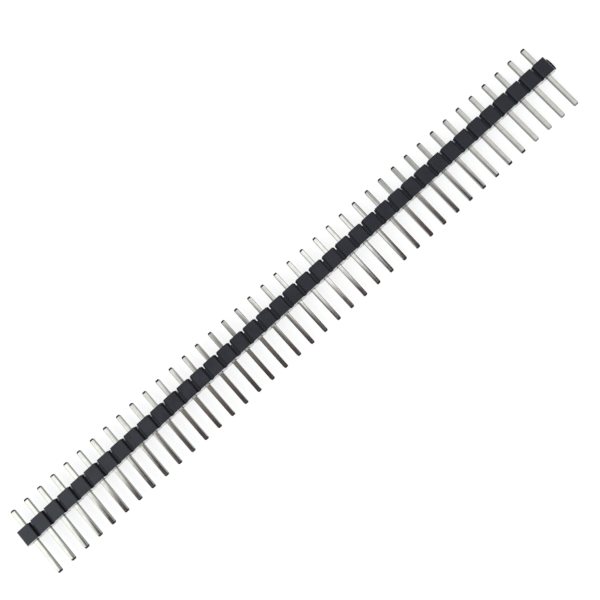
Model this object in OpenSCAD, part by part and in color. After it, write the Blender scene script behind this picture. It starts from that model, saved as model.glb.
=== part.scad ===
// Break-away pin header strip: one moulded insulator and a row of square pins.
// The strip lies on its side, as it rests on a table. X runs along the row,
// the long contacts point to -Y, the short solder tails to +Y, and Z is up.
// The origin is under the middle of the pins' length, at mid row.

/* [Row] */
// Number of pins in the row
positions = 40; // [2:1:50]
// Distance from one pin to the next
pitch = 2.54; // [2:0.01:5.08]

/* [Insulator] */
// Length of the insulator along the pins
insulator_len = 2.5; // [1.5:0.1:9]
// Thickness of the insulator across the pins
insulator_h = 2.5; // [2.1:0.1:5]
// Width of the groove between one block and the next
groove_w = 0.5; // [0.2:0.02:0.8]
// Width of the bevel along each block's long edges
bevel_w = 0.12; // [0.04:0.01:0.4]
// Height of the same bevel
bevel_h = 0.14; // [0.04:0.01:0.6]

/* [Snap line] */
// Thickness of the web that joins two blocks
web_h = 1.32; // [0.5:0.04:1.6]
// How far each web stands back from the tail side of its blocks
web_setback = 0.02; // [0.01:0.01:0.25]
// Depth of the snap notch that is cut into each web, from the tail side
notch_depth = 0.54; // [0.4:0.02:1.2]
// Width of the snap notch at its mouth
notch_mouth = 0.3; // [0.2:0.02:0.6]
// Depth at which the mouth's slopes meet the slit
mouth_depth = 0.14; // [0.06:0.02:0.36]
// Width of the slit where it meets the mouth
slit_w = 0.15; // [0.08:0.01:0.2]
// Width of the slit at its root
notch_root = 0.12; // [0.04:0.02:0.2]
// Width of the notch at the underside of the web, where it is undercut
undercut_w = 0.46; // [0.2:0.02:0.6]
// How far the broken web stands out from the first block
clean_stub = 0.16; // [0.04:0.02:0.3]
// How far the broken web stands out from the last block
torn_stub = 0.46; // [0.24:0.02:0.7]
// How much of the last block's stub is a bulge of torn plastic
torn_bulge = 0.1; // [0.04:0.02:0.2]

/* [Pin] */
// Side of the square wire that the pins are cut from
pin_side = 0.64; // [0.4:0.01:0.9]
// Width of the flat on each long edge of the wire
pin_edge = 0.05; // [0.02:0.01:0.08]
// Length of the contact, from the insulator to its tip
contact_len = 5.75; // [3:0.05:15]
// Length of the solder tail, from the insulator to its tip
tail_len = 3; // [2:0.05:10]
// Length of the coined taper at each end of a pin
tip_len = 0.22; // [0.1:0.02:0.8]
// Side of the square flat at the end of the taper
tip_side = 0.44; // [0.2:0.02:0.5]

/* [Retention] */
// How far each of the two ears on a pin bites into the insulator
ear_bite = 0.06; // [0.02:0.01:0.12]
// Length of an ear at its foot, along the pin
ear_len = 0.8; // [0.4:0.05:1.2]
// Thickness of an ear
ear_h = 0.36; // [0.2:0.02:0.4]
// Length of the ramp at each end of an ear and of its press marks
ear_ramp = 0.18; // [0.05:0.01:0.19]
// Depth of the press marks that squeezed the ears out
press_depth = 0.05; // [0.02:0.01:0.1]
// Depth of the lead-in round each hole, on the contact side
lead_depth = 0.16; // [0.05:0.01:0.3]
// How far the lead-in opens out on each side of its pin
lead_open = 0.12; // [0.05:0.01:0.25]
// Clearance on each side between a pin and its hole
pin_fit = 0; // [0:0.01:0.05]

/* [Hidden] */
pin_len = contact_len + insulator_len + tail_len;
contact_tip_y = -pin_len / 2;
tail_tip_y = pin_len / 2;
contact_face_y = contact_tip_y + contact_len;
tail_face_y = tail_tip_y - tail_len;
mid_y = (contact_face_y + tail_face_y) / 2;
mid_z = insulator_h / 2;
row_len = positions * pitch;
stub_len = insulator_len - notch_depth;
block_w = pitch - groove_w;
flat_w = block_w - 2 * bevel_w;
web_bottom_z = mid_z - web_h / 2;
web_top_z = mid_z + web_h / 2;
bevel_most = 0.9; // the most of a block's wall above the web that the bevel takes
bevel_drop = min(bevel_h, bevel_most * (insulator_h - web_top_z));
root = 0.2; // how far a stub reaches into its block
over = 0.5; // how far a cutter runs past what it cuts

function pin_x(i) = (i - (positions - 1) / 2) * pitch;
function snap_x(i) = (pin_x(i) + pin_x(i + 1)) / 2;
function pin_name(i) = str("pin_", i < 9 ? "0" : "", i + 1);

// Lays a drawing made in X and Z across the strip, from y0 to y1.
module along_pins(y0, y1) {
    translate([0, y1, 0])
        rotate([90, 0, 0])
            linear_extrude(height = y1 - y0)
                children();
}

// One upper half of a groove, as corners from left to right. The outer
// bevels fall from the flats of two neighbouring blocks to the web.
function groove_corners(x) = [
    [x - pitch / 2 + flat_w / 2, insulator_h],
    [x - groove_w / 2, insulator_h - bevel_drop],
    [x - groove_w / 2, web_top_z],
    [x + groove_w / 2, web_top_z],
    [x + groove_w / 2, insulator_h - bevel_drop],
    [x + pitch / 2 - flat_w / 2, insulator_h]
];

// The upper side of the whole strip, from the first block's outer bevel to
// the last one's.
upper_side = concat(
    [[-row_len / 2 + groove_w / 2, insulator_h - bevel_drop], [pin_x(0) - flat_w / 2, insulator_h]],
    [for (i = [0:positions - 2]) each groove_corners(snap_x(i))],
    [
        [pin_x(positions - 1) + flat_w / 2, insulator_h],
        [row_len / 2 - groove_w / 2, insulator_h - bevel_drop]
    ]
);

// The lower side is the upper side turned over, and runs back to the start.
lower_side = [
    for (k = [len(upper_side) - 1:-1:0]) [upper_side[k][0], insulator_h - upper_side[k][1]]
];

// The bar of linked blocks, before its holes and notches are cut.
module block_bar() {
    along_pins(contact_face_y, tail_face_y)
        polygon(concat(upper_side, lower_side));
}

// What is left of a web that was snapped off, standing out to +X from the
// block side at x = 0. It lies between the contact face and the snap notch.
module web_stub(stand_out) {
    translate([-root, contact_face_y, web_bottom_z])
        cube([root + stand_out, stub_len, web_h]);
}

// The bulge of plastic that tore out of the next block with the web. Its
// edge is an arc that swells by torn_bulge between the stub's two ends.
module torn_edge() {
    edge_x = torn_stub - torn_bulge;
    arc_r = (pow(stub_len / 2, 2) + pow(torn_bulge, 2)) / (2 * torn_bulge);
    intersection() {
        translate([torn_stub - arc_r, contact_face_y + stub_len / 2, web_bottom_z])
            cylinder(r = arc_r, h = web_h, $fn = 96);
        translate([edge_x - root, contact_face_y, web_bottom_z])
            cube([root + torn_bulge + over, stub_len, web_h]);
    }
}

// A cutter through the strip at one snap line, open to the tail side. Its
// outline is given by one half, as [distance from the line, depth] rows.
module tail_cut(x, half_rows) {
    right = [for (row = half_rows) [row[0], tail_face_y - row[1]]];
    left = [for (k = [len(right) - 1:-1:0]) [-right[k][0], right[k][1]]];
    translate([x, 0, -over])
        linear_extrude(height = insulator_h + 2 * over)
            polygon(concat(right, left));
}

// The snap notch in one web, a short V that runs into a narrow slit. The
// undercut widens it from the web's top to its underside.
module snap_notch(x) {
    slope = (notch_mouth - slit_w) / 2 / mouth_depth;
    tail_cut(x, [
        [notch_mouth / 2 + slope * over, -over],
        [slit_w / 2, mouth_depth],
        [notch_root / 2, notch_depth]
    ]);
    along_pins(tail_face_y - notch_depth, tail_face_y + over)
        polygon([
            [x - notch_root / 2, web_top_z],
            [x + notch_root / 2, web_top_z],
            [x + undercut_w / 2, web_bottom_z],
            [x - undercut_w / 2, web_bottom_z]
        ]);
}

// What sets a web back from the tail side. It slants outwards, so it also
// takes the corners off the two blocks beside the web.
module web_relief(x) {
    tail_cut(x, [
        [groove_w / 2 + web_setback + over, -over],
        [groove_w / 2, web_setback]
    ]);
}

// The wire's section, a square with a small flat on each edge.
module wire_section(side) {
    half = side / 2;
    cut = half - pin_edge;
    polygon([
        [-cut, -half], [cut, -half], [half, -cut], [half, cut],
        [cut, half], [-cut, half], [-half, cut], [-half, -cut]
    ]);
}

// A bar along Y, centred on x = 0 and z = 0, that narrows to the given half
// widths at both ends. Each row of the table is [y, half width].
module two_way_bar(table, thick) {
    outline = concat(
        [for (row = table) [row[1], row[0]]],
        [for (k = [len(table) - 1:-1:0]) [-table[k][1], table[k][0]]]
    );
    intersection() {
        translate([0, 0, -thick / 2])
            linear_extrude(height = thick)
                polygon(outline);
        rotate([0, -90, 0])
            translate([0, 0, -thick / 2])
                linear_extrude(height = thick)
                    polygon(outline);
    }
}

// The plain wire, with a coined taper at each end.
module coined_wire() {
    half = pin_side / 2;
    tip = tip_side / 2;
    intersection() {
        two_way_bar([
            [contact_tip_y, tip], [contact_tip_y + tip_len, half],
            [tail_tip_y - tip_len, half], [tail_tip_y, tip]
        ], pin_side + over);
        along_pins(contact_tip_y - over, tail_tip_y + over)
            wire_section(pin_side);
    }
}

// A bar's outline that is as wide as its foot at both ends and ramps out to
// a wider middle, drawn along Y about the origin.
module ramped_outline(foot_half, crest_half, len) {
    crest_len = len - 2 * ear_ramp;
    polygon([
        [-foot_half, -len / 2], [foot_half, -len / 2],
        [crest_half, -crest_len / 2], [crest_half, crest_len / 2],
        [foot_half, len / 2], [-foot_half, len / 2],
        [-crest_half, crest_len / 2], [-crest_half, -crest_len / 2]
    ]);
}

// The two ears in the middle of the insulator that hold the pin.
module ears(fit) {
    half = pin_side / 2 + fit;
    translate([0, mid_y, -ear_h / 2 - fit])
        linear_extrude(height = ear_h + 2 * fit)
            ramped_outline(half, half + ear_bite, ear_len + 2 * fit);
}

// The marks above and below the ears, where the wire was pressed thinner.
module press_marks() {
    for (side = [-1, 1])
        translate([-pin_side, mid_y, side * pin_side / 2])
            rotate([90, 0, 90])
                linear_extrude(height = 2 * pin_side)
                    rotate(90)
                        ramped_outline(0, press_depth, ear_len);
}

// The hole for one pin, with a pocket for its ears and a lead-in.
module pin_hole() {
    along_pins(contact_face_y - over, tail_face_y + over)
        wire_section(pin_side + 2 * pin_fit);
    ears(pin_fit);
    half = pin_side / 2 + pin_fit;
    two_way_bar([
        [contact_face_y - over, half + lead_open * (1 + over / lead_depth)],
        [contact_face_y + lead_depth, half]
    ], pin_side + pitch);
}

module insulator_strip() {
    color("#34363b")
        difference() {
            union() {
                block_bar();
                mirror([1, 0, 0])
                    translate([row_len / 2 - groove_w / 2, 0, 0])
                        web_stub(clean_stub);
                translate([row_len / 2 - groove_w / 2, 0, 0]) {
                    web_stub(torn_stub - torn_bulge);
                    torn_edge();
                }
            }
            for (i = [0:positions - 2]) {
                snap_notch(snap_x(i));
                web_relief(snap_x(i));
            }
            for (i = [0:positions - 1])
                translate([pin_x(i), 0, mid_z])
                    pin_hole();
        }
}

module pin(i) {
    color("#c9c8c4")
        translate([pin_x(i), 0, mid_z])
            union() {
                difference() {
                    coined_wire();
                    press_marks();
                }
                ears(0);
            }
}

insulator_strip();
for (i = [0:positions - 1])
    pin(i);
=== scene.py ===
from math import cos, radians, sin

import bpy
from mathutils import Matrix, Vector


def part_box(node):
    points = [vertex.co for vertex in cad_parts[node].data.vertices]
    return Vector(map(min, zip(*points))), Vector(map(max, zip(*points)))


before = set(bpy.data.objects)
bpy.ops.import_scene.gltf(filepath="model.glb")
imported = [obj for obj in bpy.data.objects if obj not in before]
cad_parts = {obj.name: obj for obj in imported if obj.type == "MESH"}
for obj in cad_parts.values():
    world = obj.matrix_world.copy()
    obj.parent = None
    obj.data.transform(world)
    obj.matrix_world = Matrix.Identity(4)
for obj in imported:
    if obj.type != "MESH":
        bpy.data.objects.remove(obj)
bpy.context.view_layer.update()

MM = 0.001
LEVEL = 0.01  # in mm, how near its top a point counts as on it

# ---------------------------------------------------------------- sizes, in mm
INSULATOR = "insulator_strip"
PINS = sorted(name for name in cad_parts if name.startswith("pin_"))


def corners_mm(name):
    """The lowest and highest corner of a node, in millimetres."""
    return [Vector(corner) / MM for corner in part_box(name)]


def middle_x(name):
    low, high = corners_mm(name)
    return (low.x + high.x) / 2


FIRST_PIN_X = middle_x(PINS[0])
PITCH = middle_x(PINS[1]) - FIRST_PIN_X
LAST_PIN_X = FIRST_PIN_X + PITCH * (len(PINS) - 1)
CONTACT_TIP_Y = corners_mm(PINS[0])[0].y
TAIL_TIP_Y = corners_mm(PINS[0])[1].y


def half_of_block_top():
    """Half the width of a block's flat top, along the row, as the first block has it."""
    top_z = corners_mm(INSULATOR)[1].z
    points = [vertex.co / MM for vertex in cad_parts[INSULATOR].data.vertices]
    return FIRST_PIN_X - min(point.x for point in points if point.z > top_z - LEVEL)


BLOCK_HALF = half_of_block_top()
BLOCK_EDGE = 0.03
RIM_WIDTH = 0.22  # the band along a block's top edges that gets a painted highlight
RIM_FADE = 0.05
TORN_X = LAST_PIN_X + BLOCK_HALF + 0.24  # where the strip was snapped off
TORN_FADE = 0.12
PLASTIC_GRAIN_DEPTH = 0.012

PIN_EDGE = 0.012
LONG_EDGE = (0.17, 0.31)  # how far off its axis the painted shade on a pin's long edges starts and ends
DARK_TIP_LENGTH = 0.215  # how far the dark tips reach from the ends: bare brass on the end faces, painted shade on the tapers
CUT_FADE = 0.10
CUT_WANDER = 0.06
SHORT_TIPS_X = LAST_PIN_X - 3.5 * PITCH  # past here the pins' dark contact tips are shorter
SHORT_TIPS_FADE = 0.5
SHORTER_BY = 0.18  # by how much shorter their dark contact tips are
TIN_GRAIN_DEPTH = 0.0002

# How the pins sit askew: slopes across and along them, and the crown of their faces.
TWIST = 0.007
LEAN = 0.006
CROWN = 0.045

# ---------------------------------------------------------------- colours, linear
PLASTIC_BLACK = (0.0090, 0.0095, 0.0170)
PLASTIC_GREY = (0.016, 0.017, 0.027)
PLASTIC_TORN = (0.006, 0.006, 0.008)
DUST = (0.28, 0.27, 0.25)
TIN_BRIGHT = (0.80, 0.79, 0.765)
# The darker tin: random dull patches of the plating, and the painted shade on the pins' sides and
# long edges.
TIN_DULL_AND_SHADED = (0.20, 0.195, 0.19)
BRASS = (0.20, 0.14, 0.075)
# The near-black painted shade on the coined tapers of the pin tips.
TIP_PAINTED_SHADE = (0.035, 0.03, 0.026)
WHITE = (1.0, 1.0, 1.0)
FLOOR_WHITE = (0.80, 0.80, 0.80)
FLOOR_SHADED = (0.30, 0.30, 0.30)
FLOOR_GLOW = 0.80

# ---------------------------------------------------------------- gloss
PLASTIC_INDEX = 1.5
PLASTIC_ROUGH = 0.24
POLISHED_ROUGH = 0.08
TIN_ROUGH = 0.045


# ---------------------------------------------------------------- node wiring
class Board:
    """A node tree while it is being wired."""

    def __init__(self, tree):
        self.tree = tree
        tree.nodes.clear()

    def feed(self, target, source):
        """Joins a socket to the target, or writes a plain value on it."""
        if isinstance(source, bpy.types.NodeSocket):
            self.tree.links.new(source, target)
        elif isinstance(source, tuple) and len(source) == 3 and target.type == "RGBA":
            target.default_value = (*source, 1)
        else:
            target.default_value = source

    def node(self, kind, feeds=(), **settings):
        made = self.tree.nodes.new(kind)
        for name, value in settings.items():
            setattr(made, name, value)
        for key, source in dict(feeds).items():
            self.feed(made.inputs[key], source)
        return made

    def math(self, operation, *sources):
        return self.node("ShaderNodeMath", enumerate(sources), operation=operation).outputs[0]

    def total(self, start, *parts):
        """Adds parts to a start value. Each part is a value and its share."""
        for value, share in parts:
            start = self.math("MULTIPLY_ADD", value, share, start)
        return start

    def vector_math(self, operation, *sources):
        feeds = enumerate(sources)
        return self.node("ShaderNodeVectorMath", feeds, operation=operation).outputs[0]

    def split(self, vector):
        return self.node("ShaderNodeSeparateXYZ", {0: vector}).outputs

    def join(self, x, y, z):
        return self.node("ShaderNodeCombineXYZ", {0: x, 1: y, 2: z}).outputs[0]

    def step(self, value, start, end, low, high):
        """A smooth step from low to high as the value goes from start to end."""
        feeds = {"Value": value, "From Min": start, "From Max": end, "To Min": low, "To Max": high}
        made = self.node("ShaderNodeMapRange", feeds, interpolation_type="SMOOTHSTEP")
        return made.outputs["Result"]

    def rise(self, value, start, end):
        return self.step(value, start, end, 0.0, 1.0)

    def fall(self, value, start, end):
        return self.step(value, start, end, 1.0, 0.0)

    def blend(self, factor, first, second):
        """Blends two colours."""
        feeds = {0: factor, 6: first, 7: second}
        return self.node("ShaderNodeMix", feeds, data_type="RGBA").outputs[2]

    def noise(self, place, scale, detail=2.0, rough=0.5):
        feeds = {"Vector": place, "Scale": scale, "Detail": detail, "Roughness": rough}
        return self.node("ShaderNodeTexNoise", feeds).outputs[0]

    def normal(self):
        """The surface's own direction, as three outputs."""
        return self.split(self.node("ShaderNodeNewGeometry").outputs["Normal"])

    def use(self, group, **inputs):
        """Places a node group and returns its outputs."""
        placed = self.node("ShaderNodeGroup", node_tree=group)
        for name, source in inputs.items():
            self.feed(placed.inputs[name.replace("_", " ").capitalize()], source)
        return placed.outputs


def new_group(name, inputs, outputs):
    """A shader node group. Inputs map a name to its default, outputs are names of floats."""
    tree = bpy.data.node_groups.new(name, "ShaderNodeTree")
    for label, default in inputs.items():
        kind = "NodeSocketVector" if isinstance(default, tuple) else "NodeSocketFloat"
        socket = tree.interface.new_socket(label, in_out="INPUT", socket_type=kind)
        socket.default_value = default
    for label in outputs:
        tree.interface.new_socket(label, in_out="OUTPUT", socket_type="NodeSocketFloat")
    board = Board(tree)
    entry = board.node("NodeGroupInput")
    leave = board.node("NodeGroupOutput")
    return board, entry.outputs, leave.inputs


# ---------------------------------------------------------------- shared effects
ORIGIN = (0.0, 0.0, 0.0)


def make_row_place():
    """Where a point lies along the row: its distance from the nearest pin's axis in mm,
    as it is and without its sign, and two chance values that belong to that pin."""
    outputs = ["Across", "Off axis", "Chance", "Other chance"]
    board, given, result = new_group("Row place", {"Place": ORIGIN}, outputs)
    x = board.split(given["Place"])[0]
    steps = board.math("DIVIDE", board.math("SUBTRACT", x, FIRST_PIN_X), PITCH)
    nearest = board.math("ROUND", steps)
    across = board.math("MULTIPLY", board.math("SUBTRACT", steps, nearest), PITCH)
    board.feed(result["Across"], across)
    board.feed(result["Off axis"], board.math("ABSOLUTE", across))
    for label, shift in (("Chance", 0.0), ("Other chance", 70.0)):
        feeds = {"W": board.math("ADD", nearest, shift)}
        chance = board.node("ShaderNodeTexWhiteNoise", feeds, noise_dimensions="1D")
        board.feed(result[label], chance.outputs["Value"])
    return board.tree


def make_fine_grain():
    """The fine skin of a surface: a small grain and a slow mottling, both from 0 to 1."""
    inputs = {"Place": ORIGIN, "Grain scale": 8.0, "Mottle scale": 0.5}
    board, given, result = new_group("Fine grain", inputs, ["Grain", "Mottle"])
    grain = board.noise(given["Place"], given["Grain scale"], detail=3.0, rough=0.6)
    mottle = board.noise(given["Place"], given["Mottle scale"])
    board.feed(result["Grain"], grain)
    board.feed(result["Mottle"], board.rise(mottle, 0.3, 0.7))
    return board.tree


def make_rub_marks():
    """Rub marks, long along Y and narrow across it, as a mask."""
    inputs = {"Place": ORIGIN, "Marks per mm": 6.0, "Stretch": 12.0, "Amount": 0.5}
    board, given, result = new_group("Rub marks", inputs, ["Marks"])
    squeeze = board.join(1.0, board.math("DIVIDE", 1.0, given["Stretch"]), 1.0)
    place = board.vector_math("MULTIPLY", given["Place"], squeeze)
    lines = board.noise(place, given["Marks per mm"], detail=4.0, rough=0.7)
    faintest = board.total(0.72, (given["Amount"], -0.3))
    deepest = board.math("ADD", faintest, 0.2)
    board.feed(result["Marks"], board.rise(lines, faintest, deepest))
    return board.tree


def make_settled_dust():
    """Dust that lies in specks on what faces up, as a mask."""
    board, given, result = new_group("Settled dust", {"Place": ORIGIN, "Amount": 0.5}, ["Dust"])
    facing_up = board.rise(board.normal()["Z"], 0.3, 0.95)
    specks = board.noise(given["Place"], 14.0, rough=0.8)
    specks = board.rise(specks, 0.66, 0.76)
    drift = board.noise(given["Place"], 0.7)
    lying = board.math("MULTIPLY", board.math("MULTIPLY", specks, drift), facing_up)
    board.feed(result["Dust"], board.math("MULTIPLY", lying, given["Amount"]))
    return board.tree


ROW_PLACE = make_row_place()
FINE_GRAIN = make_fine_grain()
RUB_MARKS = make_rub_marks()
SETTLED_DUST = make_settled_dust()


# ---------------------------------------------------------------- materials
def new_material(name):
    """A material with its board, and the inputs of its one shader."""
    material = bpy.data.materials.new(name)
    material.use_nodes = True
    board = Board(material.node_tree)
    shader = board.node("ShaderNodeBsdfPrincipled")
    board.node("ShaderNodeOutputMaterial", {"Surface": shader.outputs[0]})
    return material, board, shader.inputs


def place_in_mm(board):
    """The point on the object, in millimetres."""
    place = board.node("ShaderNodeTexCoord").outputs["Object"]
    return board.vector_math("DIVIDE", place, (MM, MM, MM))


def set_bump(board, shader, height, strength, depth_mm):
    feeds = {"Height": height, "Strength": strength, "Distance": depth_mm * MM}
    bump = board.node("ShaderNodeBump", feeds)
    board.feed(shader["Normal"], bump.outputs["Normal"])


def moulded_plastic():
    """Black glass-filled plastic with a fine moulded skin, and matt where it tore."""
    material, board, shader = new_material("moulded_plastic")
    shader["IOR"].default_value = PLASTIC_INDEX
    shader["Coat Roughness"].default_value = POLISHED_ROUGH
    place = place_in_mm(board)
    row = board.use(ROW_PLACE, place=place)
    skin = board.use(FINE_GRAIN, place=place, grain_scale=7.0, mottle_scale=0.55)
    rubs = board.use(RUB_MARKS, place=place, marks_per_mm=3.0, stretch=4.0, amount=0.35)
    dust = board.use(SETTLED_DUST, place=place, amount=0.35)
    torn = board.rise(board.split(place)["X"], TORN_X, TORN_X + TORN_FADE)

    # The rims of the flat tops get a painted highlight, so they are a little paler; they are also a
    # little smoother.
    near_rim = board.rise(row["Off axis"], BLOCK_HALF - RIM_WIDTH, BLOCK_HALF)
    before_bevel = board.fall(row["Off axis"], BLOCK_HALF, BLOCK_HALF + RIM_FADE)
    rim_highlight = board.math("MULTIPLY", near_rim, before_bevel)

    tone = board.total(0.0, (skin["Mottle"], 0.5), (row["Chance"], 0.3), (rim_highlight, 0.35))
    color = board.blend(tone, PLASTIC_BLACK, PLASTIC_GREY)
    color = board.blend(board.math("MULTIPLY", rubs["Marks"], 0.4), color, PLASTIC_GREY)
    color = board.blend(torn, color, PLASTIC_TORN)
    color = board.blend(dust["Dust"], color, DUST)
    board.feed(shader["Base Color"], color)

    rough = board.total(PLASTIC_ROUGH, (skin["Mottle"], 0.10), (rim_highlight, -0.06), (torn, 0.7))
    board.feed(shader["Roughness"], rough)

    # The contact face came off a polished plate.
    polished = board.fall(board.normal()["Y"], -0.95, -0.85)
    board.feed(shader["Coat Weight"], polished)

    height = board.math("ADD", skin["Grain"], board.math("MULTIPLY", torn, skin["Mottle"]))
    height = board.math("MULTIPLY", height, board.math("SUBTRACT", 1.0, polished))
    set_bump(board, shader, height, strength=0.35, depth_mm=PLASTIC_GRAIN_DEPTH)
    return material


def bare_and_shaded_tips(board, place, mottle):
    """Where the tips of the pins are dark: bare brass on their end faces and painted shade on their
    tapers.
    """
    at = board.split(place)
    short_tips = board.rise(at["X"], SHORT_TIPS_X - SHORT_TIPS_FADE, SHORT_TIPS_X + SHORT_TIPS_FADE)
    to_contact_tip = board.math("SUBTRACT", at["Y"], CONTACT_TIP_Y)
    to_contact_tip = board.total(to_contact_tip, (short_tips, SHORTER_BY))
    to_tail_tip = board.math("SUBTRACT", TAIL_TIP_Y, at["Y"])
    to_tip = board.math("MINIMUM", to_contact_tip, to_tail_tip)
    wander = board.math("SUBTRACT", mottle, 0.5)
    to_tip = board.total(to_tip, (wander, CUT_WANDER))
    return board.fall(to_tip, DARK_TIP_LENGTH, DARK_TIP_LENGTH + CUT_FADE)


def askew_height(board, place, row):
    """A height in mm that tilts a pin's reflections: its twist, its lean and its crown."""
    twist = board.math("MULTIPLY", board.math("SUBTRACT", row["Chance"], 0.5), TWIST)
    lean = board.math("MULTIPLY", board.math("SUBTRACT", row["Other chance"], 0.5), LEAN)
    bulge = board.math("POWER", row["Off axis"], 2.0)
    along = board.split(place)["Y"]
    return board.total(0.0, (row["Across"], twist), (along, lean), (bulge, -CROWN))


def tin_plating():
    """Tin over brass wire. The cut ends are bare brass, their tapers carry a painted shade, and the
    plating has fine draw lines.
    """
    material, board, shader = new_material("tin_plating")
    shader["Metallic"].default_value = 1.0
    place = place_in_mm(board)
    row = board.use(ROW_PLACE, place=place)
    skin = board.use(FINE_GRAIN, place=place, grain_scale=16.0, mottle_scale=1.1)
    draw = board.use(RUB_MARKS, place=place, marks_per_mm=9.0, stretch=30.0, amount=0.5)
    dust = board.use(SETTLED_DUST, place=place, amount=0.2)
    mottle = skin["Mottle"]

    # The sides and the long edges of the wire get painted shade, so they are darker than its top
    # and bottom; a little random dulling comes on top.
    facing = board.normal()
    side = board.rise(board.math("ABSOLUTE", facing["X"]), 0.5, 0.95)
    long_edge = board.rise(row["Off axis"], *LONG_EDGE)
    dull_and_shaded = board.total(0.0, (mottle, 0.12), (row["Chance"], 0.10), (side, 0.85), (long_edge, 0.30))
    color = board.blend(dull_and_shaded, TIN_BRIGHT, TIN_DULL_AND_SHADED)

    # The shear left bare brass on both end faces; the coined taper gets a near-black painted shade.
    bare_and_shaded = bare_and_shaded_tips(board, place, mottle)
    endways = board.rise(board.math("ABSOLUTE", facing["Y"]), 0.7, 0.95)
    color = board.blend(bare_and_shaded, color, board.blend(endways, TIP_PAINTED_SHADE, BRASS))
    color = board.blend(dust["Dust"], color, DUST)
    board.feed(shader["Base Color"], color)

    rough = board.total(TIN_ROUGH, (mottle, 0.04), (draw["Marks"], 0.05), (side, 0.12), (bare_and_shaded, 0.25))
    board.feed(shader["Roughness"], rough)

    grain = board.total(skin["Grain"], (draw["Marks"], 1.5))
    height = board.total(askew_height(board, place, row), (grain, TIN_GRAIN_DEPTH))
    set_bump(board, shader, height, strength=1.0, depth_mm=1.0)
    return material


def white_floor():
    """Seen by the camera and in reflections, the floor is white with a faint shadow."""
    material = bpy.data.materials.new("white_floor")
    material.use_nodes = True
    board = Board(material.node_tree)
    path = board.node("ShaderNodeLightPath").outputs
    seen = board.math("MAXIMUM", path["Is Camera Ray"], path["Is Glossy Ray"])
    seen = board.math("MAXIMUM", seen, path["Is Transmission Ray"])
    shaded = board.node("ShaderNodeBsdfDiffuse", {"Color": FLOOR_SHADED})
    lit = board.node("ShaderNodeEmission", {"Color": WHITE, "Strength": FLOOR_GLOW})
    both = board.node("ShaderNodeAddShader", {0: shaded.outputs[0], 1: lit.outputs[0]})
    plain = board.node("ShaderNodeBsdfDiffuse", {"Color": FLOOR_WHITE})
    mixed = board.node("ShaderNodeMixShader", {0: seen, 1: plain.outputs[0], 2: both.outputs[0]})
    board.node("ShaderNodeOutputMaterial", {"Surface": mixed.outputs[0]})
    return material


# ---------------------------------------------------------------- the object
def finish_node(name, material, edge_mm):
    """Gives a node its finish and softens its edges."""
    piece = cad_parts[name]
    piece.data.materials.clear()
    piece.data.materials.append(material)
    bevel = piece.modifiers.new("soft_edges", "BEVEL")
    bevel.width = edge_mm * MM
    bevel.segments = 2
    bevel.limit_method = "ANGLE"
    bevel.angle_limit = radians(28)
    bevel.harden_normals = True


def finish_object():
    plastic = moulded_plastic()
    tin = tin_plating()
    finish_node(INSULATOR, plastic, BLOCK_EDGE)
    for pin in PINS:
        finish_node(pin, tin, PIN_EDGE)


# ---------------------------------------------------------------- the studio
FLOOR_HALF = 3.0  # in metres


def make_floor():
    ends = (-FLOOR_HALF, FLOOR_HALF)
    points = [(x, y, 0) for y in ends for x in ends]
    mesh = bpy.data.meshes.new("floor")
    mesh.from_pydata(points, [], [(0, 1, 3, 2)])
    mesh.materials.append(white_floor())
    floor = bpy.data.objects.new("floor", mesh)
    bpy.context.scene.collection.objects.link(floor)


# The room's colours, from its far left to its far right, then low down and under the hood.
FAR_LEFT = (0.90, 0.92, 0.95)
WINDOW = (1.85, 2.15, 2.35)
LEFT_WALL = (1.34, 1.38, 1.29)
MIDDLE_WALL = (0.98, 0.98, 0.95)
PALE_STRIP = (1.26, 1.26, 1.24)
GREY_STRIP = (0.48, 0.48, 0.47)
RIGHT_WALL = (0.82, 0.82, 0.80)
DOORWAY = (0.16, 0.16, 0.18)
FAR_RIGHT = (1.10, 1.12, 1.15)
LOW_DOWN = (0.80, 0.80, 0.82)
HOOD_LEFT = (0.34, 0.35, 0.27)
HOOD_MIDDLE = (0.25, 0.225, 0.205)
HOOD_NEAR = (0.072, 0.052, 0.055)

# The hood's outline, as discs in the plane one unit above: middle x, middle y, radius.
HOOD_DISCS = [
    (-0.315, 0.0, 0.122),
    (-0.20, 0.05, 0.105),
    (-0.09, 0.06, 0.122),
    (0.05, 0.005, 0.118),
    (0.19, 0.03, 0.112),
]
HOOD_EDGE = 0.018
HORIZON = 0.02


def room_walls(board, across, along):
    """The walls of the room. Their edges are where they cross the plane one unit above."""
    color = board.blend(board.rise(across, -0.34, -0.20), LEFT_WALL, MIDDLE_WALL)
    color = board.blend(board.fall(across, -0.55, -0.45), color, WINDOW)
    color = board.blend(board.fall(across, -1.70, -1.30), color, FAR_LEFT)
    color = board.blend(board.rise(across, -0.02, 0.07), color, PALE_STRIP)
    color = board.blend(board.rise(across, 0.09, 0.17), color, GREY_STRIP)
    color = board.blend(board.rise(across, 0.18, 0.33), color, RIGHT_WALL)
    color = board.blend(board.rise(across, 0.42, 0.60), color, DOORWAY)
    color = board.blend(board.rise(across, 1.40, 2.00), color, FAR_RIGHT)
    low = board.rise(board.math("ABSOLUTE", along), 0.60, 1.20)
    return board.blend(low, color, LOW_DOWN)


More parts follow.
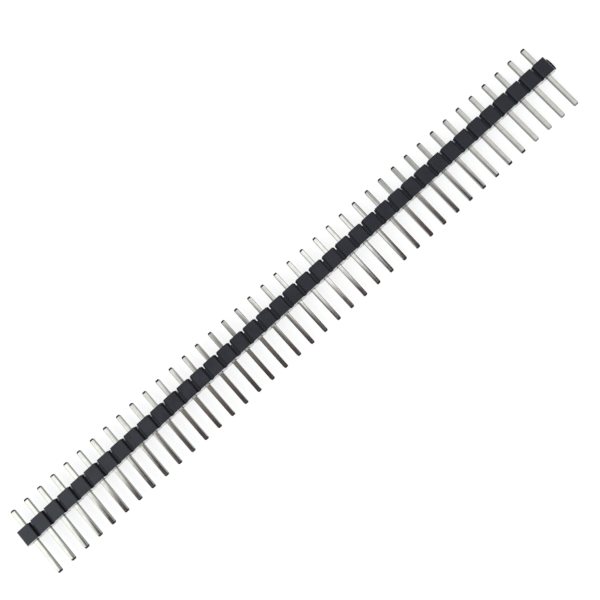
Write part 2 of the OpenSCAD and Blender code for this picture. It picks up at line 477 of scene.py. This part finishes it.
def hood_shape(board, across, along):
    """A mask of the hood overhead, made of soft discs."""
    hood = 0.0
    for middle_x, middle_y, radius in HOOD_DISCS:
        from_x = board.math("SUBTRACT", across, middle_x)
        from_y = board.math("SUBTRACT", along, middle_y)
        squared = board.total(board.math("MULTIPLY", from_x, from_x), (from_y, from_y))
        far = board.math("SQRT", squared)
        hood = board.math("MAXIMUM", hood, board.fall(far, radius - HOOD_EDGE, radius + HOOD_EDGE))
    return hood


def hood_lining(board, across, along):
    """The underside of the hood, darkest on the side of the contacts."""
    color = board.blend(board.rise(across, -0.29, -0.23), HOOD_LEFT, HOOD_MIDDLE)
    return board.blend(board.rise(along, 0.095, 0.14), HOOD_NEAR, color)


def make_world():
    """A pale room with a dark hood overhead. The camera sees only white."""
    world = bpy.data.worlds.new("studio")
    bpy.context.scene.world = world
    world.use_nodes = True
    board = Board(world.node_tree)
    direction = board.split(board.node("ShaderNodeTexCoord").outputs["Generated"])
    up = board.math("MAXIMUM", direction["Z"], HORIZON)
    across = board.math("DIVIDE", direction["X"], up)
    along = board.math("DIVIDE", direction["Y"], up)
    walls = room_walls(board, across, along)
    lining = hood_lining(board, across, along)
    color = board.blend(hood_shape(board, across, along), walls, lining)
    camera_ray = board.node("ShaderNodeLightPath").outputs["Is Camera Ray"]
    color = board.blend(camera_ray, color, WHITE)
    background = board.node("ShaderNodeBackground", {"Color": color, "Strength": 1.0})
    board.node("ShaderNodeOutputWorld", {"Surface": background.outputs[0]})


def make_camera():
    """Looks down on the row, which runs up the frame from left to right."""
    eye = Vector((0.35, -16.6, 120.0)) * MM
    aim = Vector((1.46, 0.46, 0.0)) * MM
    row_slant = radians(41.91)
    forward = (aim - eye).normalized()
    right = forward.cross(Vector((sin(row_slant), cos(row_slant), 0))).normalized()
    up = right.cross(forward)
    turn = Matrix((right, up, -forward)).transposed().to_4x4()
    data = bpy.data.cameras.new("camera")
    data.lens = 50.16
    data.clip_start = 0.005
    camera = bpy.data.objects.new("camera", data)
    camera.matrix_world = Matrix.Translation(eye) @ turn
    bpy.context.scene.collection.objects.link(camera)
    bpy.context.scene.camera = camera


finish_object()
make_floor()
make_world()
make_camera()
bpy.context.scene.view_settings.view_transform = "Standard"
